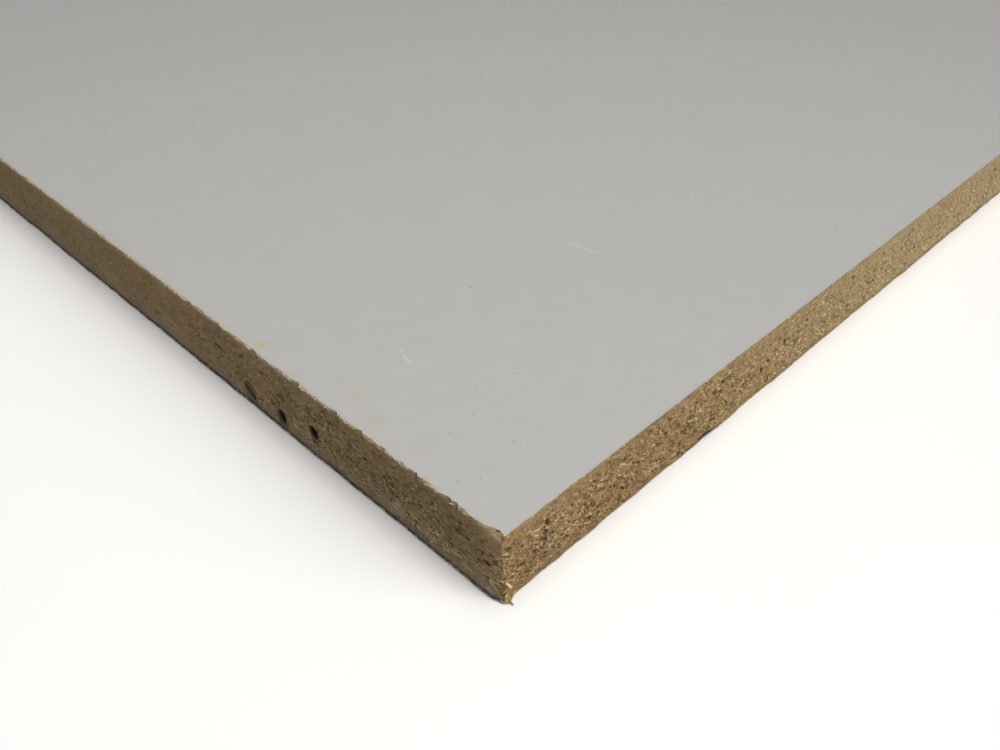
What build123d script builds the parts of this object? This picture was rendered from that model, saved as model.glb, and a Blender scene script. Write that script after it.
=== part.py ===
from build123d import *
from math import radians, tan
import os

# A faced fibreboard panel with raw sawn edges, lying flat on its underside.
# X runs along its length, Y across its width and Z up through its thickness.
# The origin is the centre of the underside. All sizes are in millimetres.

# Panel, a quarter of a full 2440 x 1220 sheet
board_length = 1220.0
board_width = 610.0
board_thickness = 18.0

# Resin-soaked paper pressed onto both faces
facing_thickness = 0.3

# Two round holes and a slit in a row along one short sawn edge, low on the edge
hole_diameter = 3.0
hole_depth = 12.0
hole_point_angle = 118.0
first_hole_from_corner = 55.0
first_hole_height = 7.0
hole_spacing = 12.0
second_hole_height = 4.2

# The slit is a hole that the saw has smeared nearly shut, and it leans along the edge
slit_length = 3.2
slit_width = 1.0
slit_depth = 8.0
slit_spacing = 12.7
slit_height = 4.3
slit_lean = 30.0

# Places worked out from the sizes above
core_thickness = board_thickness - 2 * facing_thickness
end_x = -board_length / 2
near_corner_y = -board_width / 2
first_hole_y = near_corner_y + first_hole_from_corner
second_hole_y = first_hole_y + hole_spacing
slit_y = second_hole_y + slit_spacing


def sheet(thickness, underside_height):
    """A flat layer of the panel's full length and width, with its underside at a height."""
    outline = Plane.XY.offset(underside_height) * Rectangle(board_length, board_width)
    return extrude(outline, thickness)


def short_edge_plane(y, height):
    """A plane on the short sawn edge. Its Z points into the board, and its X along the edge."""
    return Plane(origin=(end_x, y, height), x_dir=(0, 1, 0), z_dir=(1, 0, 0))


def round_hole(y, height):
    """The space of a blind hole with a conical end, turned about its own axis."""
    radius = hole_diameter / 2
    point_length = radius / tan(radians(hole_point_angle / 2))
    profile = Polyline(
        (0, 0),
        (radius, 0),
        (radius, hole_depth),
        (0, hole_depth + point_length),
        close=True,
    )
    space = revolve(Plane.XZ * make_face(profile), Axis.Z)
    return short_edge_plane(y, height) * space


def slit(y, height):
    """The space of the narrow slit, leaning along the edge."""
    outline = SlotOverall(slit_length, slit_width, rotation=slit_lean)
    return extrude(short_edge_plane(y, height) * outline, slit_depth)


def make_core():
    """The fibre core, with the holes in its short edge."""
    core = sheet(core_thickness, facing_thickness)
    core -= round_hole(first_hole_y, first_hole_height)
    core -= round_hole(second_hole_y, second_hole_height)
    core -= slit(slit_y, slit_height)
    return core


def make_top_facing():
    """The facing that is seen, on the upper face of the core."""
    return sheet(facing_thickness, board_thickness - facing_thickness)


def make_bottom_facing():
    """The balancing facing on the underside, which keeps the board flat."""
    return sheet(facing_thickness, 0)


nodes = {
    "fibre_core": make_core(),
    "top_facing": make_top_facing(),
    "bottom_facing": make_bottom_facing(),
}

os.makedirs("parts", exist_ok=True)
for name, shape in nodes.items():
    export_step(shape, f"parts/{name}.step")
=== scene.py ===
"""A faced fibreboard panel with raw sawn edges: core, facings, loose chips, torn fringe and a plain studio.

Objects are in metres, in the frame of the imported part: X along the board, Y across it and Z up.
Patterns and sizes that are written as numbers are in millimetres of the board.
"""

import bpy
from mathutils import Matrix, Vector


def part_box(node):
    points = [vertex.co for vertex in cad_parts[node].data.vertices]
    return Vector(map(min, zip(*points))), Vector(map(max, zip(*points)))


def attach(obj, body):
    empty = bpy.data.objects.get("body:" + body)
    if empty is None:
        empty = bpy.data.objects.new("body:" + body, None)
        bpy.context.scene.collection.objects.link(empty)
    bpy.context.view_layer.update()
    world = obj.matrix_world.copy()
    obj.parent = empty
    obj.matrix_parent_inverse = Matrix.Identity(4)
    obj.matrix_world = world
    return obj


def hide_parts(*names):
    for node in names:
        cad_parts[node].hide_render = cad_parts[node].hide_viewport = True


bl_info = {
    "name": "Faced fibreboard panel",
    "version": (1, 0, 0),
    "blender": (4, 5, 0),
    "location": "View3D > Sidebar > Board",
    "description": "Builds a faced fibreboard panel with raw sawn edges, and a studio for it",
    "category": "Add Mesh",
}

import functools
import math

import bpy
import numpy as np
from mathutils import Matrix, Vector
from mathutils.geometry import delaunay_2d_cdt

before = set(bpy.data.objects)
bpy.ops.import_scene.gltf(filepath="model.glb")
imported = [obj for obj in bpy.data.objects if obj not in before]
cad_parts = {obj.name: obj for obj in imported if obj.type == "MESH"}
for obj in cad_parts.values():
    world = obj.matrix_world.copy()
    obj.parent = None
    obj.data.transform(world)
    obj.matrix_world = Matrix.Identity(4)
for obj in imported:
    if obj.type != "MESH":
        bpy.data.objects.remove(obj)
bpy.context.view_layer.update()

MM = 0.001

# Seeds of the random draws
TEAR_SEED = 7
LOWER_TEAR_SEED = 47
WAVE_SEED = 67
ARRIS_SEED = 77
WALL_SEED = 87
FLAKE_SEED = 97
CHIP_SEED = 11
FRINGE_SEED = 23

# The board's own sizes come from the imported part
core_low, core_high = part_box("fibre_core")
HALF_LENGTH = core_high.x / MM
HALF_WIDTH = core_high.y / MM
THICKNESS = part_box("top_facing")[1].z / MM
CORE_BOTTOM = core_low.z / MM
CORE_TOP = core_high.z / MM

# The photographed corner of the upper face, in metres
NEAR_CORNER = Vector((-HALF_LENGTH, -HALF_WIDTH, THICKNESS)) * MM

# Where a small notch at the lower corner of the front edge is painted black, as painted shadow
MARK = 64.4

# The openings in the holed end, whose mouths are a little torn: place from the photographed corner, height,
# length, width, depth and lean
OPENINGS = (
    (55.0, 7.0, 3.6, 3.2, 12.0, math.radians(90.0)),
    (66.9, 4.0, 4.0, 3.2, 12.0, math.radians(90.0)),
    (79.2, 4.0, 5.0, 1.7, 8.0, math.radians(31.0)),
)

# Places along the holed end where its upper rim is bitten, how long and how deep a bite is, and where pale
# flakes stick to that rim
BITES = (11.4, 13.1, 22.3, 37.9, 45.9, 58.6, 73.6, 87.9, 99.7)
BITE_LENGTH = 2.2
BITE_DEPTH = 0.35
END_FLAKES = (8.8, 12.3, 16.2, 18.9, 32.2, 40.1, 42.4, 49.1, 56.4, 71.8, 80.9, 85.7, 105.6)

# Places of the pale flakes along the front edge's upper rim
FRONT_FLAKES = (8.0, 21.6, 33.3, 50.7, 60.4, 66.2, 92.0)

# Slivers on the photographed corner and beside the painted-black notch. Each has its two ends, as places
# along the front edge, along the holed end and up, then its width and its tone: 0 is brown and 1 is cream.
CORNER_SLIVERS = (
    ((1.6, -0.4, 0.7), (1.75, -1.85, 0.12), 0.42, 0.05),
    ((0.8, 0.1, 0.8), (1.2, -0.8, 0.15), 0.35, 0.30),
    ((1.2, -0.05, 5.4), (2.8, -0.20, 3.1), 1.15, 0.90),
    ((0.0, 2.4, 6.7), (0.45, 0.05, 6.3), 0.35, 0.80),
    ((0.6, 0.3, 2.2), (1.2, -0.35, 3.9), 0.45, 0.35),
    ((1.0, -0.05, 8.2), (0.6, 0.10, 9.9), 0.35, 0.20),
    ((2.6, -0.35, 0.9), (3.9, -0.15, 1.5), 0.35, 0.55),
    ((1.15, 2.3, 17.86), (1.40, 1.2, 17.97), 0.75, -0.25),
    ((0.3, 3.9, 17.2), (0.9, 2.6, 17.6), 0.35, 0.90),
    ((0.3, 0.5, 17.0), (0.9, 1.3, 17.6), 0.30, 0.75),
    ((MARK + 3.2, 0.1, 0.8), (MARK + 4.3, -0.45, 0.4), 0.60, 0.05),
)

# The sides of the board in their order round it, from the photographed corner and anticlockwise from above
FRONT_EDGE, PLAIN_END, BACK_EDGE, HOLED_END = range(4)

# How far the two sides that meet at the photographed corner show in the photograph
SHOWN = {FRONT_EDGE: 355.0, HOLED_END: 210.0}

# Colours of the core's marks and of the shade painted on it, as linear red, green and blue
GREY_DUST = (0.175, 0.150, 0.125)
FRONT_FOOT_SHADE = (0.13, 0.125, 0.085)
END_FOOT_SHADE = (0.045, 0.041, 0.043)
SHADED_FIBRE = (0.150, 0.108, 0.058)
BARE_FIBRE = (0.235, 0.162, 0.090)
BITE_SHADOW = (0.07, 0.047, 0.025)
BROKEN_FIBRE = (0.36, 0.25, 0.145)
TORN_PAPER = ((0.42, 0.34, 0.235), (0.60, 0.53, 0.42))
NOTCH_SHADOW = (0.020, 0.016, 0.011)
HOLE_SHADE = (0.008, 0.006, 0.004)
HOLE_SMUDGE = (0.045, 0.034, 0.024)

# Colours of the upper face's marks
SCRATCH_WHITE = (0.63, 0.62, 0.60)
SPECK_BROWN = (0.14, 0.125, 0.10)
FLECK_GREY = (0.12, 0.11, 0.09)


def length(name, millimetres, description):
    """A size that a user can change, kept in metres."""
    return bpy.props.FloatProperty(
        name=name, description=description, default=millimetres * MM, min=0.0, precision=5, unit="LENGTH"
    )


def share(name, value, description):
    """A plain number that a user can change."""
    return bpy.props.FloatProperty(name=name, description=description, default=value, min=0.0)


def colour(name, value, description):
    """A colour that a user can change, as linear red, green and blue."""
    return bpy.props.FloatVectorProperty(
        name=name, description=description, default=value, size=3, min=0.0, max=2.0, subtype="COLOR"
    )


class CoreSettings(bpy.types.PropertyGroup):
    """The sawn fibre core: its relief, its particles and its colours."""

    relief: length("Relief", 0.36, "How deep the fibres and chips stand apart on a sawn edge")
    pit_depth: length("Pit depth", 0.7, "Depth of the holes that torn-out chips leave")
    arris_wear: length("Arris wear", 0.35, "How far the corners of a sawn edge are worn back")
    chip_length: length("Chip length", 2.2, "Length of the larger particles, along the board")
    chip_thickness: length("Chip thickness", 0.58, "Thickness of the larger particles")
    near_step: length("Near spacing", 0.41, "Mesh spacing near the photographed corner")
    far_step: length("Far spacing", 6.0, "Mesh spacing along the far edges")
    fine_reach: length("Fine reach", 120.0, "How far the close spacing runs from the photographed corner")
    gap: colour("Gap", (0.070, 0.036, 0.011), "The dark between the particles")
    brown: colour("Brown", (0.176, 0.111, 0.0455), "The darker particles")
    tan: colour("Tan", (0.298, 0.1995, 0.090), "The usual particles")
    pale: colour("Pale", (0.433, 0.315, 0.169), "The lighter particles")
    cream: colour("Cream", (0.62, 0.495, 0.315), "The lightest slivers")
    # Painted shade: this tint darkens the short ends of the core, standing in for the shade they lie in
    end_shade_tint: colour("End tint", (0.69, 0.71, 0.70), "How the scorched short ends darken the core")
    dust_tint: colour("Dust tint", (0.98, 1.05, 1.13), "How grey dust changes the low part of a short end")


class FacingSettings(bpy.types.PropertyGroup):
    """The pale facings pressed on both faces."""

    tear_depth: length("Tear depth", 0.45, "How far the facing is torn back along a short end")
    nibble_depth: length("Nibble depth", 0.11, "How far the facing is chipped along a long edge")
    grey: colour("Facing grey", (0.462, 0.457, 0.446), "The facing's colour")
    torn: colour("Torn rim", (0.46, 0.42, 0.345), "The torn rim of the facing, where its paper shows")
    stain: colour("Stain", (0.43, 0.43, 0.21), "The yellow stains near the short end")
    roughness: share("Roughness", 0.42, "Roughness of the facing")


class ChipSettings(bpy.types.PropertyGroup):
    """Loose chips on the sawn edges, and the torn fringe below the facing."""

    chips: share("Chips", 0.42, "Chips on each square millimetre of sawn edge")
    chip_length: length("Chip length", 1.3, "Length of the larger loose chips")
    fringe: share("Fringe", 1.2, "Slivers on each square millimetre of the torn corner of a short end")
    sliver_length: length("Sliver length", 1.1, "Length of the larger slivers of the fringe")


class StudioSettings(bpy.types.PropertyGroup):
    """The floor, the lights and the camera."""

    floor: colour("Floor", (0.96, 0.96, 0.96), "The floor's colour")
    sky: share("Sky", 0.152, "Strength of the even light from all round")
    front_sun: share("Front light", 2.06, "Strength of the broad low light before the long edge")
    high_sun: share("High light", 0.10, "Strength of the broad light from high behind")
    top_box: share("Top light", 2.85, "Power of the soft box over the photographed corner")
    side_box: share("Side light", 0.71, "Power of the soft box before the photographed corner")
    focal_length: share("Focal length", 33.88, "Camera focal length for a sensor 36 mm wide")


class Wire:
    """A node's output. Arithmetic on it adds Math nodes, or Vector Math nodes where a side is a vector."""

    def __init__(self, nodes, socket):
        self.nodes = nodes
        self.socket = socket

    def other(self, name):
        """Another output of the same node."""
        return Wire(self.nodes, self.socket.node.outputs[name])

    def calculate(self, operation, *terms):
        """Adds the node of an operation. A tuple is a vector, and a number beside one fills all its parts."""
        if any(isinstance(t, tuple) or isinstance(t, Wire) and t.socket.type == "VECTOR" for t in terms):
            terms = [t if isinstance(t, (Wire, tuple)) else (t, t, t) for t in terms]
            kind = "ShaderNodeVectorMath"
        else:
            kind = "ShaderNodeMath"
        return self.nodes.add(kind, {"operation": operation}, dict(enumerate(terms)))

    def __add__(self, other):
        return self.calculate("ADD", self, other)

    def __radd__(self, other):
        return self.calculate("ADD", other, self)

    def __sub__(self, other):
        return self.calculate("SUBTRACT", self, other)

    def __rsub__(self, other):
        return self.calculate("SUBTRACT", other, self)

    def __mul__(self, other):
        return self.calculate("MULTIPLY", self, other)

    def __rmul__(self, other):
        return self.calculate("MULTIPLY", other, self)

    def __truediv__(self, other):
        return self.calculate("DIVIDE", self, other)

    def __pow__(self, other):
        return self.calculate("POWER", self, other)

    def __abs__(self):
        return self.calculate("ABSOLUTE", self)

    def lowest(self, other):
        return self.calculate("MINIMUM", self, other)

    def highest(self, other):
        return self.calculate("MAXIMUM", self, other)


class Nodes:
    """A node tree that is being made."""

    def __init__(self, tree):
        self.tree = tree
        self.count = 0

    def add(self, kind, settings=None, values=None, output=0):
        """Adds a node, with its settings, then its sockets' values or links. Returns one of its outputs."""
        node = self.tree.nodes.new(kind)
        node.location = (220 * (self.count % 16), -260 * (self.count // 16))
        self.count += 1
        for name, value in (settings or {}).items():
            if name == "stops":
                self.set_stops(node.color_ramp, value)
            else:
                setattr(node, name, value)
        for name, value in (values or {}).items():
            if isinstance(value, Wire):
                self.tree.links.new(value.socket, node.inputs[name])
            else:
                node.inputs[name].default_value = value
        return Wire(self, node.outputs[output]) if node.outputs else None

    def set_stops(self, ramp, stops):
        while len(ramp.elements) < len(stops):
            ramp.elements.new(1.0)
        for element, (place, shade) in zip(ramp.elements, stops):
            element.position = place
            element.color = (*shade, 1.0)

    def rise(self, value, low, high):
        """0 below low, climbing smoothly to 1 above high."""
        values = {"Value": value, "From Min": low, "From Max": high}
        return self.add("ShaderNodeMapRange", {"interpolation_type": "SMOOTHSTEP"}, values)

    def fall(self, value, low, high):
        """1 below low, sinking smoothly to 0 above high."""
        return 1 - self.rise(value, low, high)

    def mix(self, amount, first, second, blend="MIX"):
        """A mix of two colours."""
        first, second = (c if isinstance(c, Wire) else (*c, 1.0) for c in (first, second))
        values = {0: amount, 6: first, 7: second}
        return self.add("ShaderNodeMix", {"data_type": "RGBA", "blend_type": blend}, values, output=2)

    def tint(self, amount, base, by):
        """A colour multiplied by another, by some amount."""
        return self.mix(amount, base, by, "MULTIPLY")

    def ramp(self, value, stops):
        """A colour ramp's colour for a value."""
        return self.add("ShaderNodeValToRGB", {"stops": stops}, {"Fac": value}, "Color")

    def size_of(self, vector):
        """The length of a vector."""
        return self.add("ShaderNodeVectorMath", {"operation": "LENGTH"}, {0: vector}, "Value")

    def gap_between(self, first, second):
        """The distance between two places."""
        return self.add("ShaderNodeVectorMath", {"operation": "DISTANCE"}, {0: first, 1: second}, "Value")

    def noise(self, place, scale, detail=2.0, roughness=0.55, output="Fac"):
        """Soft noise from 0 to 1, with features about 1 / scale across."""
        values = {"Vector": place, "Scale": scale, "Detail": detail, "Roughness": roughness}
        return self.add("ShaderNodeTexNoise", {"noise_dimensions": "3D"}, values, output)

    def cells(self, place, feature="F1", output="Color"):
        """Random cells one unit across."""
        return self.add("ShaderNodeTexVoronoi", {"feature": feature}, {"Vector": place, "Scale": 1.0}, output)

    def parts(self, vector):
        """The X, Y and Z of a vector."""
        x = self.add("ShaderNodeSeparateXYZ", None, {0: vector})
        return x, x.other("Y"), x.other("Z")


def edge_distances(nodes, place):
    """How far in from the short ends and from the long edges a place lies, in millimetres."""
    x, y, z = nodes.parts(place)
    return HALF_LENGTH - abs(x), HALF_WIDTH - abs(y), z


def near_place(place):
    """XY of a place, measured from the photographed corner, with Z left out."""
    return place * (1.0, 1.0, 0.0) + (HALF_LENGTH, HALF_WIDTH, 0.0)


def distance_from_corner(nodes, place):
    """How far a place is from the vertical corner that the photograph shows."""
    return nodes.size_of(near_place(place))


def face_distance(z):
    """How far a height is from the nearer face of the core."""
    return (z - CORE_BOTTOM).lowest(CORE_TOP - z)


def looseness(nodes, z):
    """The core is pressed dense near its faces, 0, and is looser in the middle, 1."""
    return nodes.rise(face_distance(z), 0.3, 4.5)


def on_short_end(nodes, from_end, from_side):
    """1 on the sawn short ends and 0 on the long edges."""
    return nodes.rise(from_side - from_end, -0.3, 0.3)


# The saw blade that left faint arcs: its radius, and how far its axis lay below the board
BLADE_RADIUS = 150.0
BLADE_DROP = 96.0


def saw_marks(nodes, place):
    """Faint arcs that the saw's teeth left, from 0 to 1."""
    x, y, z = nodes.parts(place)
    above_axis = z + BLADE_DROP
    sweep = (BLADE_RADIUS**2 - above_axis * above_axis) ** 0.5
    across = (x + y - sweep) * 0.55
    strip = nodes.add("ShaderNodeCombineXYZ", None, {0: across, 2: z * 0.03})
    return nodes.noise(strip, 1.0, detail=3.0)


# How steeply the saw drew the fibres of a long edge down, as seen on the front edge
DRAWN_DOWN = math.radians(38.0)

# Layers of flakes that lie across each other: how they are turned, their size and how much they fill
FLAKE_LAYERS = (
    ((0.0, 0.0, 0.4), 1.00, 0.40),
    ((0.55, 0.25, 0.2), 0.80, 0.30),
    ((-0.60, -0.30, 1.1), 0.70, 0.28),
    ((1.10, 0.55, 0.5), 0.50, 0.26),
)


def drawn_place(nodes, place):
    """A place in axes whose first one runs the way the fibres do on the long edges."""
    x, y, z = nodes.parts(place)
    lean_x, lean_z = math.cos(DRAWN_DOWN), math.sin(DRAWN_DOWN)
    return nodes.add(
        "ShaderNodeCombineXYZ", None, {0: x * lean_x - z * lean_z, 1: y, 2: x * lean_z + z * lean_x}
    )


def pressed_chips(nodes, place, core, on_end):
    """The particles of the core at a place in millimetres: their tone and height, the gaps and the pits."""
    long = core.chip_length / MM
    flat = core.chip_thickness / MM
    swirl = nodes.noise(place, 0.22, detail=1.0, output="Color")
    flow = drawn_place(nodes, place + (swirl - (0.5, 0.5, 0.5)) * 0.7)
    fibres = nodes.noise(flow * (0.85, 0.85, 2.3), 1.5, detail=5.0, roughness=0.66)
    grains = nodes.cells(flow * (1.2, 1.4, 2.2))
    grain_tone, grain_height, _ = nodes.parts(grains)
    crowding = nodes.rise(nodes.noise(place, 0.17, detail=1.0), 0.35, 0.62)
    tone = fibres * 0.75 + grain_tone * 0.20 + 0.025
    height = fibres * 0.75 + grain_height * 0.25
    gap = None
    for i, (turn, size, fill) in enumerate(FLAKE_LAYERS):
        shifted = flow + (3.1 * i, 7.7 * i, 5.3 * i)
        values = {0: shifted, "Rotation": turn}
        turned = nodes.add("ShaderNodeVectorRotate", {"rotation_type": "EULER_XYZ"}, values)
        spot = turned * (1 / (size * long), 1.4 / (size * long), 1 / (size * flat))
        pick, flake_tone, flake_height = nodes.parts(nodes.cells(spot))
        rim = nodes.cells(spot, "DISTANCE_TO_EDGE", output="Distance")
        chosen = nodes.rise(pick, 1 - fill, 1.02 - fill) * (0.35 + 0.65 * crowding)
        there = chosen * nodes.rise(rim, 0.03, 0.13)
        tone = tone + there * (flake_tone * 0.76 + 0.13 - tone)
        height = height + there * (flake_height * 0.7 + 0.35 - height)
        outline = chosen * nodes.fall(rim, 0.0, 0.12)
        gap = outline if gap is None else gap.highest(outline)
    pit = nodes.rise(nodes.noise(flow * (0.75, 0.9, 1.25), 0.62, detail=1.5), 0.63, 0.72) * (1 - on_end * 0.5)
    groove = nodes.rise(nodes.noise(flow * (0.42, 0.42, 1.9), 1.0, detail=2.0), 0.60, 0.68)
    pit = pit.highest(groove * (0.35 + 0.6 * on_end))
    return {"tone": tone, "height": height, "gap": gap, "pit": pit}


def middle_of(a, b, c):
    """The middle one of three distances from a box's faces: how far its skin's point is from an arris."""
    return a.lowest(b).highest(a.highest(b).lowest(c))


def new_group(name, inputs):
    """An empty geometry node group with named inputs. Returns its nodes and the wire of its geometry."""
    tree = bpy.data.node_groups.new(name, "GeometryNodeTree")
    tree.interface.new_socket("Geometry", in_out="OUTPUT", socket_type="NodeSocketGeometry")
    for socket, kind in {"Geometry": "Geometry", **inputs}.items():
        tree.interface.new_socket(socket, in_out="INPUT", socket_type=f"NodeSocket{kind}")
    nodes = Nodes(tree)
    return nodes, nodes.add("NodeGroupInput")


def close_group(nodes, geometry, material):
    """Ends a node group: what it made becomes real, gets its material and goes out. Returns the group."""
    whole = nodes.add("GeometryNodeRealizeInstances", None, {"Geometry": geometry})
    dressed = nodes.add("GeometryNodeSetMaterial", None, {"Geometry": whole, "Material": material})
    nodes.add("NodeGroupOutput", None, {0: dressed})
    return nodes.tree


def sawn_relief(core, material):
    """The node group that roughens a sawn edge: every point sinks by the pattern of the particles there."""
    nodes, given = new_group("Sawn relief", {"Relief": "Float", "Pit depth": "Float", "Arris wear": "Float"})
    relief = given.other("Relief")
    place = nodes.add("GeometryNodeInputPosition") * (1 / MM)
    stored = nodes.add(
        "GeometryNodeStoreNamedAttribute",
        {"data_type": "FLOAT_VECTOR", "domain": "POINT"},
        {"Geometry": given, "Name": "board_place", "Value": place},
    )
    open_share = nodes.add("GeometryNodeInputNamedAttribute", {"data_type": "FLOAT"}, {"Name": "open"})
    from_end, from_side, z = edge_distances(nodes, place)
    from_face = face_distance(z)
    on_end = on_short_end(nodes, from_end, from_side)
    sawn = nodes.fall(from_end.lowest(from_side), 1.2, 4.5)
    loose = looseness(nodes, z)
    chips = pressed_chips(nodes, place, core, on_end)
    depth = (1 - chips["height"]) * relief * (0.5 + 0.6 * loose)
    depth = depth + chips["gap"] * relief * 0.35
    depth = depth + chips["pit"] * given.other("Pit depth") * (0.1 + 0.9 * loose)
    depth = depth + saw_marks(nodes, place) * relief * 0.2
    depth = depth * (1 - on_end * 0.35) * nodes.rise(from_face, 0.0, 0.4) * (1.2 - z * 0.022)
    away = distance_from_corner(nodes, place)
    depth = depth * (1 - (0.35 + 0.2 * on_end) * nodes.rise(away, 60.0, 170.0))
    worn = nodes.fall(middle_of(from_end, from_side, from_face), 0.0, 0.55)
    crumbs = nodes.rise(nodes.noise(place, 0.8, detail=2.0), 0.35, 0.7)
    depth = depth + worn * given.other("Arris wear") * crumbs * (0.35 + 0.65 * on_end)
    depth = depth * sawn * (1 - open_share)
    offset = nodes.add("GeometryNodeInputNormal") * (0.0 - depth)
    moved = nodes.add("GeometryNodeSetPosition", None, {"Geometry": stored, "Offset": offset})
    return close_group(nodes, moved, material)


def linked(name, data):
    """A new object of the scene that holds a mesh, a light or a camera."""
    made = bpy.data.objects.new(name, data)
    bpy.context.scene.collection.objects.link(made)
    return made


def grown(name, mesh, tree, inputs):
    """Runs a node group on a mesh and returns an object that holds the plain mesh it makes."""
    start = linked(name, mesh)
    modifier = start.modifiers.new(tree.name, "NODES")
    modifier.node_group = tree
    sockets = {s.name: s.identifier for s in tree.interface.items_tree if s.in_out == "INPUT"}
    for socket, value in inputs.items():
        modifier[sockets[socket]] = value
    graph = bpy.context.evaluated_depsgraph_get()
    made = bpy.data.meshes.new_from_object(
        start.evaluated_get(graph), preserve_all_data_layers=True, depsgraph=graph
    )
    start.modifiers.clear()
    start.data = made
    made.name = name
    return start


class Rim:
    """The columns of points that run round the board, starting at the photographed corner."""

    def __init__(self, near_step, far_step, reach):
        corner = Vector((-HALF_LENGTH, -HALF_WIDTH))
        columns = []
        for side in (FRONT_EDGE, PLAIN_END, BACK_EDGE, HOLED_END):
            side_length = 2 * (HALF_LENGTH if side in (FRONT_EDGE, BACK_EDGE) else HALF_WIDTH)
            way = Vector((1, 0))
            way.rotate(Matrix.Rotation(side * math.pi / 2, 2))
            inside = Vector((-way.y, way.x))
            for run, step in zip(*self.column_places(side_length, side, near_step, far_step, reach)):
                columns.append((corner, way, inside, run, side_length, step, side))
            corner = corner + way * side_length
        self.start, self.way, self.inside, self.run, self.length, self.step, self.side = (
            np.array(values) for values in zip(*columns)
        )
        self.count = len(columns)
        self.short_end = abs(self.way[:, 1]) > 0.5

    def from_near_corner(self):
        """How far each column is from the photographed corner, along the two edges that meet there."""
        away = np.where(self.side == FRONT_EDGE, self.run, np.inf)
        return np.where(self.side == HOLED_END, self.length - self.run, away)

    def column_places(self, side_length, side, near_step, far_step, reach):
        """Where the columns of one side stand: close near the photographed corner, far apart out of sight."""
        t = np.linspace(0, side_length, int(side_length * 10) + 1)
        from_near = {FRONT_EDGE: t, HOLED_END: side_length - t}.get(side, np.full_like(t, np.inf))
        past_reach = np.clip(from_near - reach, 0, None)
        out_of_sight = np.clip(from_near - SHOWN.get(side, 0.0), 0, None)
        step = near_step + 0.0028 * past_reach + 0.05 * out_of_sight
        from_corner = np.minimum(t, side_length - t)
        corner_step = 3 * near_step + 0.07 * from_corner
        step = np.minimum(np.minimum(step, corner_step), far_step)
        run = np.concatenate([[0], np.cumsum(2 * np.diff(t) / (step[1:] + step[:-1]))])
        count = math.ceil(run[-1])
        places = np.interp(np.arange(count) / count * run[-1], run, t)
        return places, np.interp(places, t, step)

    def foot(self, depth, some=slice(None)):
        """XY of the columns at a depth in from the sawn edge, mitred at the corners."""
        depth = np.broadcast_to(np.asarray(depth, float), (self.count,))[some]
        before, after = self.run[some], (self.length - self.run)[some]
        spread = np.maximum(12.0, 2.5 * depth)
        run = before + depth * np.clip(1 - before / spread, 0, None)
        run = run - depth * np.clip(1 - after / spread, 0, None)
        return self.start[some] + self.way[some] * run[:, None] + self.inside[some] * depth[:, None]


def flat_skin(rim, outline, height, depths, rim_numbers, total, upward):
    """A flat skin inside an outline of the board, with rings of ever fewer points inside it.

    rim_numbers says which points of the mesh the outline's are, and total how many points it has so far.
    Returns the new points and the triangles.
    """
    rings = [rim.foot(depth, slice(None, None, 3 ** (i + 1))) for i, depth in enumerate(depths)]
    inner = np.concatenate(rings)
    points = [Vector(p) for p in np.concatenate([outline, inner])]
    loop = list(range(len(outline)))
    found, _, triangles, origins, _, _ = delaunay_2d_cdt(points, [], [loop], 1, 1e-7)
    if len(found) != len(points):
        raise RuntimeError("the outline of a face crosses itself")
    back = np.array([origin[0] for origin in origins])
    numbers = np.concatenate([rim_numbers, total + np.arange(len(inner))])
    order = (0, 1, 2) if upward else (0, 2, 1)
    corners = numbers[back[np.array(triangles)][:, order]]
    return np.column_stack([inner, np.full(len(inner), height)]), corners


def run_along(points):
    """How far along a line each of its points lies."""
    return np.concatenate([[0], np.cumsum(np.hypot(*np.diff(points, axis=0).T))])


def column_noise(rim, wavelength, seed):
    """Smooth random numbers from -1 to 1 along the rim, with bumps of about one wavelength."""
    total = 4 * (HALF_LENGTH + HALF_WIDTH)
    knots = int(total / wavelength)
    values = np.random.default_rng(seed).uniform(-1, 1, knots)
    place = run_along(rim.foot(0.0)) / total * knots
    low = np.floor(place).astype(int)
    t = place - low
    t = t * t * (3 - 2 * t)
    return values[low % knots] * (1 - t) + values[(low + 1) % knots] * t


def eased(share):
    """A share kept between 0 and 1, with a smooth start and end."""
    share = np.clip(share, 0, 1)
    return share * share * (3 - 2 * share)


def lower_waves(rim):
    """How far the lower corner of the core wanders in and out, in millimetres: positive is inward."""
    waves = 0.16 * column_noise(rim, 9.0, WAVE_SEED) + 0.17 * column_noise(rim, 2.6, WAVE_SEED + 1)
    return np.where(rim.short_end, 0.6, 1.0) * waves - 0.10


def bitten(rim):
    """How deep each column of the holed end is bitten, from 0 to 1. A bite's steep side faces the corner."""
    along = np.where(rim.side == HOLED_END, rim.from_near_corner(), 1e6)
    slopes = [np.clip(1 - (along - place) / BITE_LENGTH, 0, 1) * (along > place - 0.2) for place in BITES]
    return np.max(slopes, axis=0)


def set_attribute(mesh, name, values):
    """Gives every point of a mesh a number."""
    attribute = mesh.attributes.new(name, "FLOAT", "POINT")
    attribute.data.foreach_set("value", np.asarray(values, np.float32))


def core_rows():
    """The sawn edge's section, from the underside round to the top: depth in from the edge, and height."""
    rim_depths = (6.0, 3.6, 2.2, 1.35, 0.75, 0.3)
    step = 0.42
    count = round((CORE_TOP - CORE_BOTTOM) / step)
    rows = [(depth, CORE_BOTTOM) for depth in rim_depths]
    rows += [(0.0, height) for height in np.linspace(CORE_BOTTOM, CORE_TOP, count + 1)]
    rows += [(depth, CORE_TOP) for depth in reversed(rim_depths)]
    return np.array(rows)


def from_photographed_corner(points):
    """How far points lie from the photographed corner: along the front edge, and along the holed end."""
    return points[..., 0] + HALF_LENGTH, points[..., 1] + HALF_WIDTH


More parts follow.
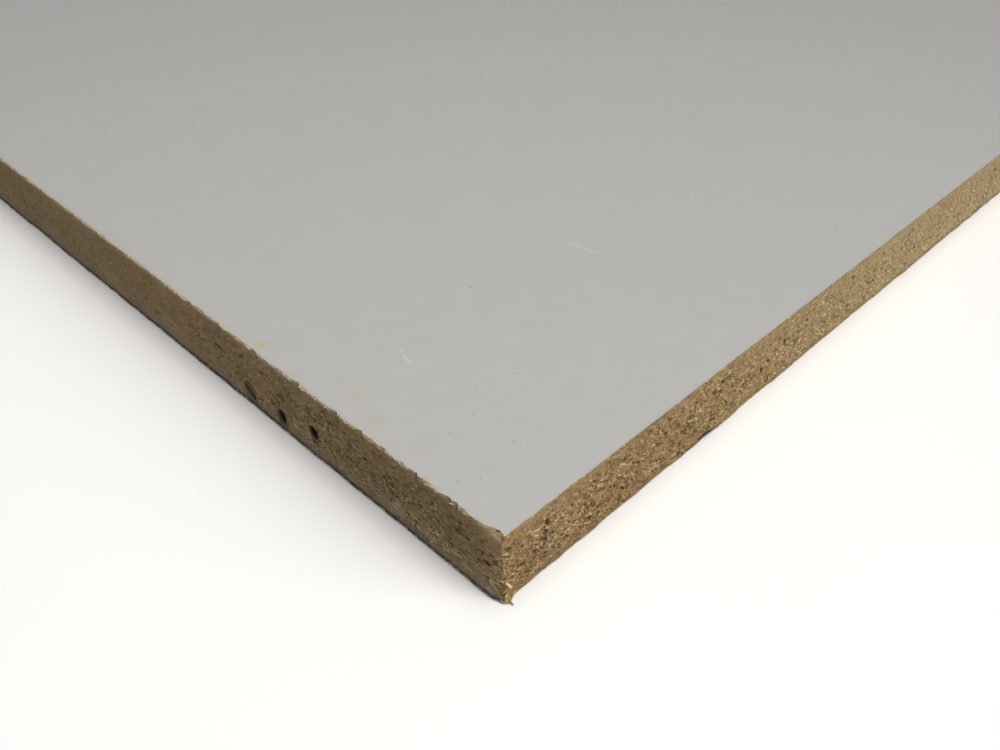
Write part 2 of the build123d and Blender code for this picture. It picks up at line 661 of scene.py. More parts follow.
def cut_openings(points):
    """Pushes points of the holed end into the nail holes and the slit. Returns 1 for those, 0 for others."""
    opened = np.zeros(points.shape[:-1])
    front, along = from_photographed_corner(points)
    hair, snap = 0.001, 0.24
    on_end = front < hair
    for place, height, long, wide, depth, lean in OPENINGS:
        off_along, off_up = along - place, points[..., 2] - height
        lengthwise = off_along * math.cos(lean) + off_up * math.sin(lean)
        crosswise = off_up * math.cos(lean) - off_along * math.sin(lean)
        straight = (long - wide) / 2
        beyond = lengthwise - np.clip(lengthwise, -straight, straight)
        radius = np.hypot(beyond, crosswise)
        mouth = on_end & (abs(radius - wide / 2) < snap)
        pull = (wide / 2 / np.maximum(radius, 1e-9) - 1) * mouth
        move_long, move_cross = beyond * pull, crosswise * pull
        points[..., 1] += move_long * math.cos(lean) - move_cross * math.sin(lean)
        points[..., 2] += move_long * math.sin(lean) + move_cross * math.cos(lean)
        inside = on_end & (radius < wide / 2 - snap)
        points[..., 0][inside] += depth
        opened[inside | mouth] = 1.0
    return opened


# Heights on the photographed corner, and how far it is worn back there
CORNER_WEAR = (
    (0.0, 0.5), (1.0, 0.7), (2.6, 1.25), (4.0, 1.1), (5.5, 0.7), (7.0, 0.2),
    (9.0, 0.6), (11.5, 0.75), (14.0, 0.35), (16.0, 0.2), (18.0, 0.2),
)

# The break at the top of that corner: its depth, its length along the holed end and where it starts upwards
BREAK_DEPTH = 0.75
BREAK_LENGTH = 4.8
BREAK_START = 16.3

# The burr at its foot: how far it sticks out, how high it reaches and its middle along the front edge
BURR_REACH = 0.8
BURR_HEIGHT = 5.0
BURR_MIDDLE = 1.6


def broken_share(end):
    """How much of the photographed corner's break reaches a place along the holed end, from 1 to 0."""
    return eased((BREAK_LENGTH - end) / 2.0)


def wear_corner(points):
    """Wears the photographed corner back, breaks it off below the facing and burrs its foot."""
    front, end = from_photographed_corner(points)
    height = points[..., 2]
    worn = np.interp(height, *zip(*CORNER_WEAR))
    width = np.interp(height, (3.0, 6.0), (1.6, 1.0))
    broken = BREAK_DEPTH * np.clip((height - BREAK_START) / 1.3, 0, 1) * broken_share(end)
    burr = BURR_REACH * np.clip(1 - height / BURR_HEIGHT, 0, 1)
    points[..., 0] += (worn * np.exp(-((end / width) ** 2)) + broken) * np.exp(-front / 1.6)
    points[..., 1] -= burr * np.exp(-(((front - BURR_MIDDLE) / 1.3) ** 2)) * np.exp(-end / 1.0)


def dent_edge(points):
    """Sinks a small pocket into the front edge, just above its lower corner, where painted shadow blackens
    it.
    """
    front, end = from_photographed_corner(points)
    half_length, half_height, middle_height, depth = 2.4, 0.5, 0.6, 0.2
    away = np.hypot((front - MARK) / half_length, (points[..., 2] - middle_height) / half_height)
    points[..., 1] += depth * np.clip(1.4 - away, 0, 1) * np.exp(-end / 1.5)


# The map for the bake: its number of strips, the share that the flat faces take, and the space between strips
MAP_STRIPS = 7
MAP_FACE_SHARE = 0.12
MAP_MARGIN = 0.004

# How deep in the rings of points stand that fill the core's flat faces and the facings' skins
CORE_RINGS = (9.0, 20.0, 50.0, 120.0, 220.0)
FACING_RINGS = (8.0, 20.0, 50.0, 120.0, 220.0)


def strip_map(rim, rows, column, row, right):
    """The sawn edges' places on the map for the bake: strips, with most room for the photographed corner."""
    weight = np.concatenate([[0], np.cumsum(np.sqrt(rim.step))])
    weight = weight / weight[-1] * MAP_STRIPS
    strip = np.minimum(weight[:-1].astype(int), MAP_STRIPS - 1)[column]
    height = run_along(rows)
    height = (height / height[-1])[row]
    margin = MAP_MARGIN * MAP_STRIPS
    v = (strip + margin + height * (1 - 2 * margin)) / MAP_STRIPS
    return np.stack([weight[column + right] - strip, v * (1 - MAP_FACE_SHARE)], 1)


def face_map(points, upward):
    """The flat faces' places on the map for the bake, squeezed in above the strips."""
    u = (points[:, 0] / HALF_LENGTH * 0.48 + 0.5) * 0.5 + (0.5 if upward else 0.0)
    return np.stack([u, 0.94 + points[:, 1] / HALF_WIDTH * 0.05], 1)


def core_points(rim, rows):
    """The core's points before their relief, a column at a time, and which of them are in the openings."""
    points = np.empty((rim.count, len(rows), 3))
    for i, (depth, height) in enumerate(rows):
        points[:, i, :2] = rim.foot(depth)
        points[:, i, 2] = height
    on_edge = rows[:, 0] < 1.0
    low = np.clip((3.0 - rows[:, 1]) / 3.0, 0, 1) * on_edge
    high = np.clip((rows[:, 1] - 16.9) / 0.6, 0, 1) * on_edge
    depth = lower_waves(rim)[:, None] * low + BITE_DEPTH * bitten(rim)[:, None] * high
    points[..., :2] += rim.inside[:, None, :] * depth[..., None]
    opened = cut_openings(points)
    wear_corner(points)
    dent_edge(points)
    return points, opened


def core_mesh(rim):
    """The core before its relief: a closed skin with close rows of points on the sawn edges."""
    rows = core_rows()
    points, opened = core_points(rim, rows)
    width = len(rows)
    grid = np.meshgrid(np.arange(rim.count), np.arange(width - 1), indexing="ij")
    column, row = grid[0].ravel(), grid[1].ravel()
    after = (column + 1) % rim.count
    faces = np.stack([
        column * width + row, after * width + row, after * width + row + 1, column * width + row + 1,
    ], 1).tolist()
    corners = ((row, 0), (row, 1), (row + 1, 1), (row + 1, 0))
    places = [strip_map(rim, rows, column, up, right) for up, right in corners]
    maps = [np.stack(places, 1).reshape(-1, 2)]
    everything = points.reshape(-1, 3)
    for row, height, upward in ((0, CORE_BOTTOM, False), (width - 1, CORE_TOP, True)):
        numbers = np.arange(rim.count) * width + row
        inner, skin = flat_skin(
            rim, points[:, row, :2], height, CORE_RINGS, numbers, len(everything), upward
        )
        everything = np.concatenate([everything, inner])
        faces += skin.tolist()
        maps.append(face_map(everything[skin.ravel()], upward))
    mesh = bpy.data.meshes.new("sawn_core")
    mesh.from_pydata((everything * MM).tolist(), [], faces)
    open_share = np.zeros(len(everything))
    open_share[: opened.size] = opened.ravel()
    set_attribute(mesh, "open", open_share)
    layer = mesh.uv_layers.new(name="OFBake")
    layer.uv.foreach_set("vector", np.concatenate(maps).astype(np.float32).ravel())
    return mesh


def scaled(shade, by):
    """A colour made lighter or darker."""
    return tuple(min(1.0, channel * by) for channel in shade)


class EdgePlace:
    """What the core's colours go by at a place on it."""

    def __init__(self, nodes, place):
        self.place = place
        self.from_end, self.from_side, self.z = edge_distances(nodes, place)
        self.on_end = on_short_end(nodes, self.from_end, self.from_side)
        self.away = distance_from_corner(nodes, place)
        self.far = nodes.rise(self.away, 30.0, 150.0)
        self.loose = looseness(nodes, self.z)
        self.shown = nodes.fall(self.from_end.lowest(self.from_side), 3.0, 6.0)


def clean_fibre(nodes, at, core, chips):
    """The particles' colours, with painted shade in the gaps and pits between them, and painted shade that
    darkens the short ends.
    """
    contrast = (0.80 + 0.33 * at.loose) * (0.25 + 0.75 * at.shown) * (1 - 0.26 * at.on_end)
    contrast = contrast * (1.24 - at.z * 0.028) * (1 - at.far * (0.28 + 0.34 * at.on_end))
    tone = (chips["tone"] - 0.5) * contrast + 0.49
    tone = tone + (saw_marks(nodes, at.place) - 0.5) * 0.07
    blotches = nodes.noise(at.place, 0.09) - 0.5
    tone = tone + blotches * (0.08 + 0.22 * at.on_end * (1 - 0.5 * at.far))
    # The front edge is paler far from the photographed corner, painted light where its relief stands in less
    # shade, and near it towards its upper rim
    tone = tone + (at.far - 0.5) * (1 - at.on_end) * 0.135
    tone = tone + (at.z - 9.0) * (1 - at.on_end) * (1 - at.far) * 0.005
    colours = (core.gap, core.brown, core.tan, core.pale, core.cream)
    shade = nodes.ramp(tone, tuple(zip((0.16, 0.34, 0.52, 0.72, 0.88), map(tuple, colours))))
    # Painted shade in the pits and in the gaps round the particles, which the relief also sinks
    dark = (chips["gap"] * 0.17 + chips["pit"] * 0.68) * (0.3 + 0.7 * at.loose)
    shade = nodes.mix(dark * at.shown * (1 - 0.4 * at.far), shade, tuple(core.gap))
    hue = nodes.rise(nodes.noise(at.place, 0.3, detail=2.0), 0.35, 0.65)
    shade = nodes.tint(1.0, shade, nodes.mix(hue, (1.0, 1.0, 0.92), (1.0, 0.965, 1.03)))
    shade = nodes.tint(at.far * (1 - at.on_end), shade, (0.935, 1.005, 1.055))
    # Painted shade darkens the short ends, a little less near the photographed corner; their low part takes
    # the dust tint instead
    low = nodes.fall(at.z, 2.5, 8.5)
    end_shade_tint = nodes.mix(low, tuple(core.end_shade_tint), tuple(core.dust_tint))
    end_shade_tint = nodes.mix(nodes.fall(at.away, 20.0, 90.0) * 0.9, scaled(core.end_shade_tint, 1.14), end_shade_tint)
    return nodes.tint(at.on_end, shade, nodes.mix(low, end_shade_tint, tuple(core.dust_tint)))


def with_dust_and_foot_shade(nodes, at, shade):
    """Grey dust low on the ends, and painted shade along the foot of every sawn edge, where it meets the
    floor.
    """
    smear = nodes.noise(at.place * (0.25, 0.25, 1.4), 1.0, detail=3.0) - 0.5
    dusty = nodes.fall(at.z + smear * 3.0, 2.5, 6.5) * at.on_end * 0.34
    shade = nodes.mix(dusty, shade, GREY_DUST)
    # Painted shade: the foot of each sawn edge is darkened where it meets the floor
    strength = 0.35 + 0.30 * at.far * (1 - at.on_end) + at.on_end * (0.53 + at.far * 0.09)
    foot_shade = nodes.fall(at.z + smear * 1.2, 0.5, 1.8) * strength
    return nodes.mix(foot_shade, shade, nodes.mix(at.on_end, FRONT_FOOT_SHADE, END_FOOT_SHADE))


def with_paler_places(nodes, at, shade):
    """A painted highlight under the upper rim of the short ends; the corner's sides and its foot are paler
    too.
    """
    # Painted highlight: the short ends are paler just under their upper rim
    shade = nodes.tint(nodes.rise(at.z, 16.2, 17.5) * at.on_end, shade, (1.30, 1.32, 1.38))
    beside = nodes.fall(at.away, 2.0, 7.0) * at.on_end * nodes.rise(at.z, 3.8, 5.6)
    shade = nodes.tint(beside, shade, (1.20, 1.15, 1.32))
    foot = nodes.fall(at.away, 1.8, 3.2) * nodes.fall(at.z, 3.2, 4.6) * (1 - 0.9 * at.on_end)
    return nodes.tint(foot, shade, (1.40, 1.40, 1.35))


def with_upper_rim(nodes, at, shade):
    """Painted shade in patches below the front rim, the broken corner, and the torn paper that sticks to the
    rim.
    """
    # Painted shade in patches just below the front rim
    patches = nodes.rise(nodes.noise(at.place, 0.28), 0.50, 0.62)
    shaded = nodes.rise(at.z, CORE_TOP - 1.1, CORE_TOP - 0.5) * patches
    shade = nodes.mix(shaded * (1 - at.on_end) * 0.40, shade, SHADED_FIBRE)
    broken = nodes.rise(at.from_end, 0.12, 0.5) * nodes.fall(at.away, 4.6, 6.0) * nodes.rise(at.z, 15.8, 16.8)
    shade = nodes.mix(broken * at.on_end * 0.75, shade, nodes.tint(1.0, shade, (1.62, 1.68, 1.95)))
    rim = nodes.rise(at.z, CORE_TOP - 0.25, CORE_TOP + 0.02) * (0.35 + 0.6 * at.on_end)
    patchy = nodes.noise(at.place, 1.4, detail=4.0, roughness=0.65)
    paper = nodes.mix(nodes.rise(patchy, 0.42, 0.64), *TORN_PAPER)
    torn = nodes.mix(nodes.rise(at.away, 3.6, 6.0), BROKEN_FIBRE, paper)
    slow = nodes.rise(nodes.noise(at.place, 0.24), 0.44, 0.58) * 0.55 + 0.45
    return nodes.mix(rim * nodes.rise(patchy, 0.36, 0.50) * slow, shade, torn)


def with_bites(nodes, at, shade):
    """Bare fibre in the bites of the holed end's upper rim, with a painted shadow line at the steep side of
    each.
    """
    for along in BITES:
        from_bite = nodes.parts(at.place - (0.0, along - HALF_WIDTH, 0.0))[1]
        high = nodes.rise(at.z - from_bite * 0.25, CORE_TOP - 1.3, CORE_TOP - 0.9) * at.on_end
        bare = nodes.rise(from_bite, -0.3, 0.1) * nodes.fall(from_bite, 1.2, 2.2) * high
        shade = nodes.mix(bare * 0.70, shade, BARE_FIBRE)
        # Painted shadow along the steep side of each bite
        shade = nodes.mix(nodes.fall(abs(from_bite + 0.2), 0.15, 0.40) * high * 0.75, shade, BITE_SHADOW)
    return shade


def with_notch_shadow(nodes, at, shade):
    """Painted shadow in the notch at the foot of the front edge: a black spot, with a thin streak beside it.
    """
    # Painted shadow: the notch is painted black
    x, y, up = nodes.parts(at.place - (MARK - HALF_LENGTH, 0.0, 0.45))
    spot = nodes.fall(abs(x + 0.5), 1.7, 3.2) * nodes.fall(abs(up), 0.35, 0.85)
    streak = nodes.fall(abs(x + 2.0), 4.0, 6.0) * nodes.fall(up, -0.2, 0.5)
    front = (1 - at.on_end) * nodes.rise(0.0 - y, 0.0, 1.0)
    return nodes.mix(spot.highest(streak * 0.6) * front, shade, NOTCH_SHADOW)


def with_shaded_openings(nodes, at, shade):
    """The openings are painted black inside, as painted shade, with a smudge round each mouth."""
    inside = nodes.rise(at.from_end, 0.15, 0.9) * nodes.rise(face_distance(at.z), 0.4, 0.8)
    inside = inside * nodes.rise(at.from_side, 20.0, 30.0)
    # Painted shade inside the openings
    shade = nodes.mix(inside * 0.96, shade, HOLE_SHADE)
    for along, up, tall, *_ in OPENINGS:
        off = nodes.size_of((at.place - (0.0, along - 0.3 - HALF_WIDTH, up - 0.9)) * (0.0, 1.3, 1.0))
        smudge = nodes.fall(off, 0.5 * tall - 0.4, 0.5 * tall + 1.5) * at.on_end
        shade = nodes.mix(smudge * 0.5, shade, HOLE_SMUDGE)
    return shade


def core_colour(nodes, place, core):
    """Colour of the core at a place, and the height that its bump reads."""
    at = EdgePlace(nodes, place)
    chips = pressed_chips(nodes, place, core, at.on_end)
    shade = clean_fibre(nodes, at, core, chips)
    # These changes hold wear and dust as well as painted shade and painted highlights
    wear = (with_dust_and_foot_shade, with_paler_places, with_upper_rim, with_bites, with_notch_shadow, with_shaded_openings)
    for change in wear:
        shade = change(nodes, at, shade)
    fine = nodes.noise(drawn_place(nodes, place) * (0.85, 0.85, 2.0), 3.6, detail=5.0, roughness=0.7)
    return shade, chips["height"] * 0.6 + fine


def new_material(name):
    """An empty material, and its nodes."""
    material = bpy.data.materials.new(name)
    material.use_nodes = True
    material.node_tree.nodes.clear()
    return material, Nodes(material.node_tree)


def close_material(nodes, shade, roughness, gloss=0.5, normal=None):
    """Ends a material with its surface."""
    values = {"Base Color": shade, "Roughness": roughness, "Specular IOR Level": gloss}
    if normal:
        values["Normal"] = normal
    surface = nodes.add("ShaderNodeBsdfPrincipled", None, values)
    nodes.add("ShaderNodeOutputMaterial", None, {"Surface": surface})


def bumped(nodes, height, strength, depth):
    """A normal that is roughened by a height. Depth is in millimetres."""
    return nodes.add("ShaderNodeBump", None, {"Strength": strength, "Distance": depth * MM, "Height": height})


def core_material(core):
    """Raw sawn fibre: pressed particles, dark gaps and pale slivers."""
    material, nodes = new_material("raw_fibre")
    place = nodes.add("ShaderNodeAttribute", {"attribute_name": "board_place"}, None, "Vector")
    shade, height = core_colour(nodes, place, core)
    close_material(nodes, shade, 0.86, 0.25, bumped(nodes, height, 0.55, 0.35))
    return material


def object_place(nodes):
    """The place of a point on the board, in millimetres."""
    return nodes.add("ShaderNodeTexCoord", None, None, "Object") * (1 / MM)


def chip_material(core):
    """Loose chips: each has its own tone from brown to cream."""
    material, nodes = new_material("loose_chip")
    tone = nodes.add("ShaderNodeAttribute", {"attribute_name": "chip_tone"}, None, "Fac")
    place = object_place(nodes)
    grain = nodes.noise(place * (1.0, 1.0, 2.0), 2.6, detail=3.0)
    colours = (core.brown, core.tan, core.pale, core.cream)
    shade = nodes.ramp(tone + (grain - 0.5) * 0.5, tuple(zip((0.05, 0.40, 0.70, 0.95), map(tuple, colours))))
    from_end, from_side, _ = edge_distances(nodes, place)
    # Painted shade darkens the chips on the short ends too
    shade = nodes.tint(on_short_end(nodes, from_end, from_side), shade, tuple(core.end_shade_tint))
    close_material(nodes, shade, 0.8, 0.3)
    return material


# Marks on the upper face near the photographed corner, as places along the long edge and along the short end.
# A scratch has two ends, the width at each and its strength. A stain has its place, radius and strength.
SCRATCHES = (
    ((23.3, 54.7), (21.1, 47.7), 0.10, 0.34, 0.70),
    ((10.7, 51.0), (14.6, 50.8), 0.16, 0.20, 0.40),
    ((81.1, 56.0), (82.6, 47.2), 0.40, 0.30, 0.60),
    ((82.6, 47.2), (84.9, 40.9), 0.28, 0.10, 0.45),
    ((49.3, 106.0), (54.2, 101.8), 0.20, 0.14, 0.25),
)
SPECKS = (
    (25.8, 44.2), (34.0, 29.8), (25.4, 32.2), (18.8, 26.3),
    (12.2, 25.8), (19.1, 15.4), (8.0, 13.1), (4.4, 15.3),
)
STAINS = ((2.7, 75.0, 2.3, 0.62), (5.7, 26.8, 3.4, 0.22), (5.6, 47.5, 4.5, 0.20), (4.8, 38.5, 3.4, 0.18))


def stroke(nodes, place, start, end, width_start, width_end):
    """1 on a straight stroke that widens from one end to the other, and 0 away from it."""
    start, end = Vector((*start, 0.0)), Vector((*end, 0.0))
    along = end - start
    arm = place - tuple(start)
    dot = nodes.add("ShaderNodeVectorMath", {"operation": "DOT_PRODUCT"}, {0: arm, 1: tuple(along)}, "Value")
    at = (dot / along.length_squared).highest(0.0).lowest(1.0)
    foot = nodes.add("ShaderNodeCombineXYZ", None, {0: at * along.x, 1: at * along.y})
    width = at * (width_end - width_start) + width_start
    return (1 - nodes.gap_between(arm, foot) / width).highest(0.0) ** 0.6


def facing_material(facing):
    """Pale resin facing: a satin skin with fine mottling, a few scratches, specks and yellow stains."""
    material, nodes = new_material("pale_facing")
    place = object_place(nodes)
    flat = near_place(place)
    from_end, from_side, z = edge_distances(nodes, place)
    mottle = nodes.noise(place, 0.16, detail=3.0) * 0.6 + nodes.noise(place, 1.3, detail=3.0) * 0.4
    shade = nodes.mix(nodes.rise(mottle, 0.3, 0.7), scaled(facing.grey, 0.982), scaled(facing.grey, 1.018))
    upper = nodes.rise(z, THICKNESS - 0.02, THICKNESS - 0.01)
    ragged = nodes.noise(place, 0.9, detail=3.0) - 0.5
    for x, y, radius, strength in STAINS:
        off = nodes.gap_between(flat, (x, y, 0.0)) + ragged * radius
        stain = nodes.fall(off, 0.15 * radius, radius) * upper
        shade = nodes.mix(stain * strength, shade, tuple(facing.stain))
    for x, y in SPECKS:
        off = nodes.gap_between(flat, (x, y, 0.0)) + ragged * 0.3
        speck = nodes.fall(off, 0.10, 0.36) * upper
        shade = nodes.mix(speck * 0.4, shade, SPECK_BROWN)
    strewn = nodes.cells(place * 0.07)
    pick = nodes.parts(strewn)[0]
    fleck = nodes.fall(strewn.other("Distance"), 0.014, 0.034) * nodes.rise(pick, 0.45, 0.5)
    shade = nodes.mix(fleck * 0.5, shade, FLECK_GREY)
    warp = (nodes.noise(place, 0.5, detail=2.0, output="Color") - (0.5, 0.5, 0.5)) * 0.7
    strokes = [stroke(nodes, flat + warp, *shape) * strength for *shape, strength in SCRATCHES]
    score = functools.reduce(Wire.highest, strokes) * upper
    shade = nodes.mix(score, shade, SCRATCH_WHITE)
    torn = nodes.fall(from_end + ragged * 2.0, 0.30, 1.50) * 0.75
    warm = nodes.fall(from_side + ragged * 0.6, 0.05, 0.80) * 0.40
    shade = nodes.mix(torn.highest(warm), shade, tuple(facing.torn))
    fine = nodes.noise(place, 2.2, detail=4.0, roughness=0.6)
    rough = facing.roughness + (mottle - 0.5) * 0.16 + score * 0.2
    close_material(nodes, shade, rough, 0.4, bumped(nodes, fine * 0.3 - score * 0.8, 0.12, 0.05))
    return material


def torn_back(rim, facing, lower):
    """How far each column of a facing is chipped back: torn along the short ends, clean along the others."""
    seed = LOWER_TEAR_SEED if lower else TEAR_SEED
    waves = [column_noise(rim, wavelength, seed + i) for i, wavelength in enumerate((7.0, 1.7, 0.8))]
    bites = np.clip(column_noise(rim, 1.3, seed + 5) - 0.45, 0, None)
    torn = facing.tear_depth / MM * (0.65 + 0.22 * waves[0] + 0.30 * waves[1] + 0.36 * waves[2] + 1.1 * bites)
    clean = facing.nibble_depth / MM * (0.5 + 0.5 * waves[1] + 0.6 * waves[2])
    if lower:
        torn = torn * 0.5
    else:
        torn = torn + 0.3 * bitten(rim)
    depth = np.where(rim.short_end, torn, clean)
    return np.clip(depth, 0.04, 3.4)


def torn_outline(rim, depth, corner_loss):
    """XY of a facing's rim, with its corner broken off where the photographed corner is knocked back."""
    outline = rim.foot(depth)
    front, end = from_photographed_corner(outline)
    near = rim.from_near_corner() < 40.0
    outline[:, 0] += corner_loss * broken_share(end) * np.clip(1 - front / 8.0, 0, 1) * near
    return outline


def arris_outline(rim, lower):
    """XY of the core's own arris, which the torn wall of a facing meets."""
    height = CORE_BOTTOM if lower else CORE_TOP
    if lower:
        depth = lower_waves(rim)
    else:
        depth = 0.03 + 0.10 * column_noise(rim, 1.1, ARRIS_SEED) + BITE_DEPTH * bitten(rim)
    outline = np.column_stack([rim.foot(0.0), np.full(rim.count, height)])
    outline[:, :2] += rim.inside * depth[:, None]
    wear_corner(outline)
    return outline[:, :2]


# Where the wall between the core's arris and a facing's torn rim has rows of points, as shares of the way
WALL_ROWS = (0.0, 0.35, 0.7, 1.0)


def facing_mesh(name, rim, arris, torn, arris_height, torn_height):
    """A thin sheet: its skin on the core's side, its skin outside, and the torn wall between them."""
    upward = torn_height > arris_height
    last = len(WALL_ROWS) - 1
    rows = []
    for i, share in enumerate(WALL_ROWS):
        jag = 0.16 * column_noise(rim, 0.9, WALL_SEED + i) if 0 < i < last else 0.0
        outline = arris + (torn - arris) * np.clip(share + jag, 0, 1)[..., None] if i else arris
        height = arris_height + (torn_height - arris_height) * share
        rows.append(np.column_stack([outline, np.full(rim.count, height)]))
    everything = np.concatenate(rows)
    skins = []
    for row, outline, height, faces_up in (
        (0, arris, arris_height, not upward),
        (last, rows[last][:, :2], torn_height, upward),
    ):
        numbers = np.arange(rim.count) + row * rim.count
        inner, skin = flat_skin(rim, outline, height, FACING_RINGS, numbers, len(everything), faces_up)
        everything = np.concatenate([everything, inner])
        skins += skin.tolist()
    wall = []
    for row in range(last):
        for i in range(rim.count):
            after = (i + 1) % rim.count
            quad = [row * rim.count + corner for corner in (i, after, after + rim.count, i + rim.count)]
            wall.append(quad if upward else quad[::-1])
    mesh = bpy.data.meshes.new(name)
    mesh.from_pydata((everything * MM).tolist(), [], skins + wall)
    mesh.polygons.foreach_set("material_index", [0] * len(skins) + [1] * len(wall))
    place = mesh.attributes.new("board_place", "FLOAT_VECTOR", "POINT")
    place.data.foreach_set("vector", everything.astype(np.float32).ravel())
    return mesh


# How far a strewn sliver is turned at random, in radians: tipped out of the skin it lies on, and within it
SLIVER_TIP = 0.25
SLIVER_SWING = 0.8


def scatter_group(name, material, where):
    """The node group that strews slivers over a skin. where gives their density at a place."""
    sizes = ("Density", "Length", "Width share", "Thickness share")
    nodes, given = new_group(name, {**dict.fromkeys(sizes, "Float"), "Seed": "Int"})
    place = nodes.add("GeometryNodeInputPosition") * (1 / MM)
    density = where(nodes, place) * given.other("Density")
    values = {"Mesh": given, "Density": density, "Seed": given.other("Seed")}
    points = nodes.add("GeometryNodeDistributePointsOnFaces", None, values)
    normal = points.other("Normal")
    values = {0: normal, 1: (0.0, 0.0, 1.0)}
    sideways = nodes.add("ShaderNodeVectorMath", {"operation": "CROSS_PRODUCT"}, values)
    align = "FunctionNodeAlignRotationToVector"
    upright = nodes.add(align, {"axis": "Z"}, {"Vector": normal})
    laid = nodes.add(align, {"axis": "X", "pivot_axis": "Z"}, {"Rotation": upright, "Vector": sideways})
    most = (SLIVER_TIP, SLIVER_TIP, SLIVER_SWING)
    values = {"Min": tuple(-angle for angle in most), "Max": most, "Seed": 1}
    tilt = nodes.add("FunctionNodeRandomValue", {"data_type": "FLOAT_VECTOR"}, values)
    faces_front = abs(nodes.parts(normal)[1])
    drawn_down = nodes.add("ShaderNodeCombineXYZ", None, {2: faces_front * -DRAWN_DOWN})
    turn = nodes.add("FunctionNodeEulerToRotation", None, {0: tilt + drawn_down})
    values = {"Rotation": laid, "Rotate By": turn}
    turned = nodes.add("FunctionNodeRotateRotation", {"rotation_space": "LOCAL"}, values)
    values = {2: 0.25, 3: 1.0, "Seed": 2}
    drawn = nodes.add("FunctionNodeRandomValue", {"data_type": "FLOAT"}, values, output=1)
    long = given.other("Length") * (drawn * drawn * 0.5)
    values = {0: long, 1: long * given.other("Width share"), 2: long * given.other("Thickness share")}
    size = nodes.add("ShaderNodeCombineXYZ", None, values)
    sliver = nodes.add("GeometryNodeMeshUVSphere", None, {"Segments": 4, "Rings": 3, "Radius": 1.0})
    values = {"Points": points, "Instance": sliver, "Rotation": turned, "Scale": size}
    strewn = nodes.add("GeometryNodeInstanceOnPoints", None, values)
    tone = nodes.add("FunctionNodeRandomValue", {"data_type": "FLOAT"}, {"Seed": 3}, output=1)
    stored = nodes.add(
        "GeometryNodeStoreNamedAttribute",
        {"data_type": "FLOAT", "domain": "INSTANCE"},
        {"Geometry": strewn, "Name": "chip_tone", "Value": tone},
    )
    return close_group(nodes, stored, material)


def sliver_list():
    """The corner's slivers, and the flakes that stick out of the upper rims of the two sawn edges."""
    draw = np.random.default_rng(FLAKE_SEED)
    slivers = list(CORNER_SLIVERS)
    for along in END_FLAKES:
        least, most = (0.3, -0.25, 17.65, 0.3, 0.8), (0.65, 0.0, 17.95, 0.55, 1.0)
        reach, out, up, wide, tone = draw.uniform(least, most)
        slivers.append(((0.15, along - reach, up), (out, along + reach, up + 0.1), wide, tone))
    for along in FRONT_FLAKES:
        least, most = (0.25, -0.2, 17.7, 0.2, 0.8), (0.5, 0.0, 17.95, 0.35, 1.0)
        reach, out, up, wide, tone = draw.uniform(least, most)
        slivers.append(((along - reach, 0.1, up), (along + reach, out, up + 0.05), wide, tone))
    return slivers


def slivers_mesh(name, slivers):
    """One mesh of flat four-sided slivers, pointed at both ends."""
    points, faces, tones = [], [], []
    for start, end, width, tone in slivers:
        start, end = Vector(start), Vector(end)
        along = (end - start).normalized()
        side = along.cross(Vector((0.35, -0.25, 0.9))).normalized()
        above = along.cross(side)
        ring = [side, above * 0.45, -side, above * -0.45]
        first = len(points)
        points.append(start)
        for share in (0.3, 0.7):
            points += [start.lerp(end, share) + arm * width / 2 for arm in ring]
        points.append(end)
        for i in range(4):
            after = (i + 1) % 4
            faces.append((first, first + 1 + after, first + 1 + i))
            faces.append((first + 1 + i, first + 1 + after, first + 5 + after, first + 5 + i))
            faces.append((first + 5 + i, first + 5 + after, first + 9))
        tones += [tone] * 10
    corner = Vector((-HALF_LENGTH, -HALF_WIDTH, 0.0))
    mesh = bpy.data.meshes.new(name)
    mesh.from_pydata([(point + corner) * MM for point in points], [], faces)
    set_attribute(mesh, "chip_tone", tones)
    return mesh


def on_sawn_face(nodes, place):
    """How thick loose chips lie on a sawn edge: most near the photographed corner, least by the faces."""
    from_end, from_side, z = edge_distances(nodes, place)
    sawn = nodes.fall(from_end.lowest(from_side), 1.3, 1.5)
    above_foot = nodes.rise(z, CORE_BOTTOM + 0.4, CORE_BOTTOM + 2.0)
    below_rim = nodes.fall(z, CORE_TOP - 2.5, CORE_TOP - 0.3)
    near = nodes.fall(distance_from_corner(nodes, place), 180.0, 380.0)
    return sawn * above_foot * (0.3 + 0.7 * below_rim) * (0.12 + 0.88 * near)


def on_torn_corner(nodes, place):
    """1 on the upper corner of the short ends, where the facing is torn."""
    from_end, _, z = edge_distances(nodes, place)
    return nodes.fall(from_end, 0.9, 1.6) * nodes.rise(z, CORE_TOP - 0.7, CORE_TOP - 0.2)


def settled(piece, slot, *nodes):
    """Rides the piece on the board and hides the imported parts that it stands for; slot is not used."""
    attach(piece, "root")
    if nodes:
        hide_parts(*nodes)
    return piece


def board_rim(core):
    """The rim that the core and both facings share."""
    return Rim(core.near_step / MM, core.far_step / MM, core.fine_reach / MM)


class BOARD_OT_core(bpy.types.Operator):
    """Saws the fibre core, with its relief, nail holes and slit"""

    bl_idname = "board.core"
    bl_label = "Sawn core"

    def execute(self, context):
        core = context.scene.board_core
        material = core_material(core)
        tree = sawn_relief(core, material)
        inputs = {"Relief": core.relief, "Pit depth": core.pit_depth, "Arris wear": core.arris_wear}
        piece = grown("sawn_core", core_mesh(board_rim(core)), tree, inputs)
        settled(piece, "raw_core", "fibre_core")
        return {"FINISHED"}


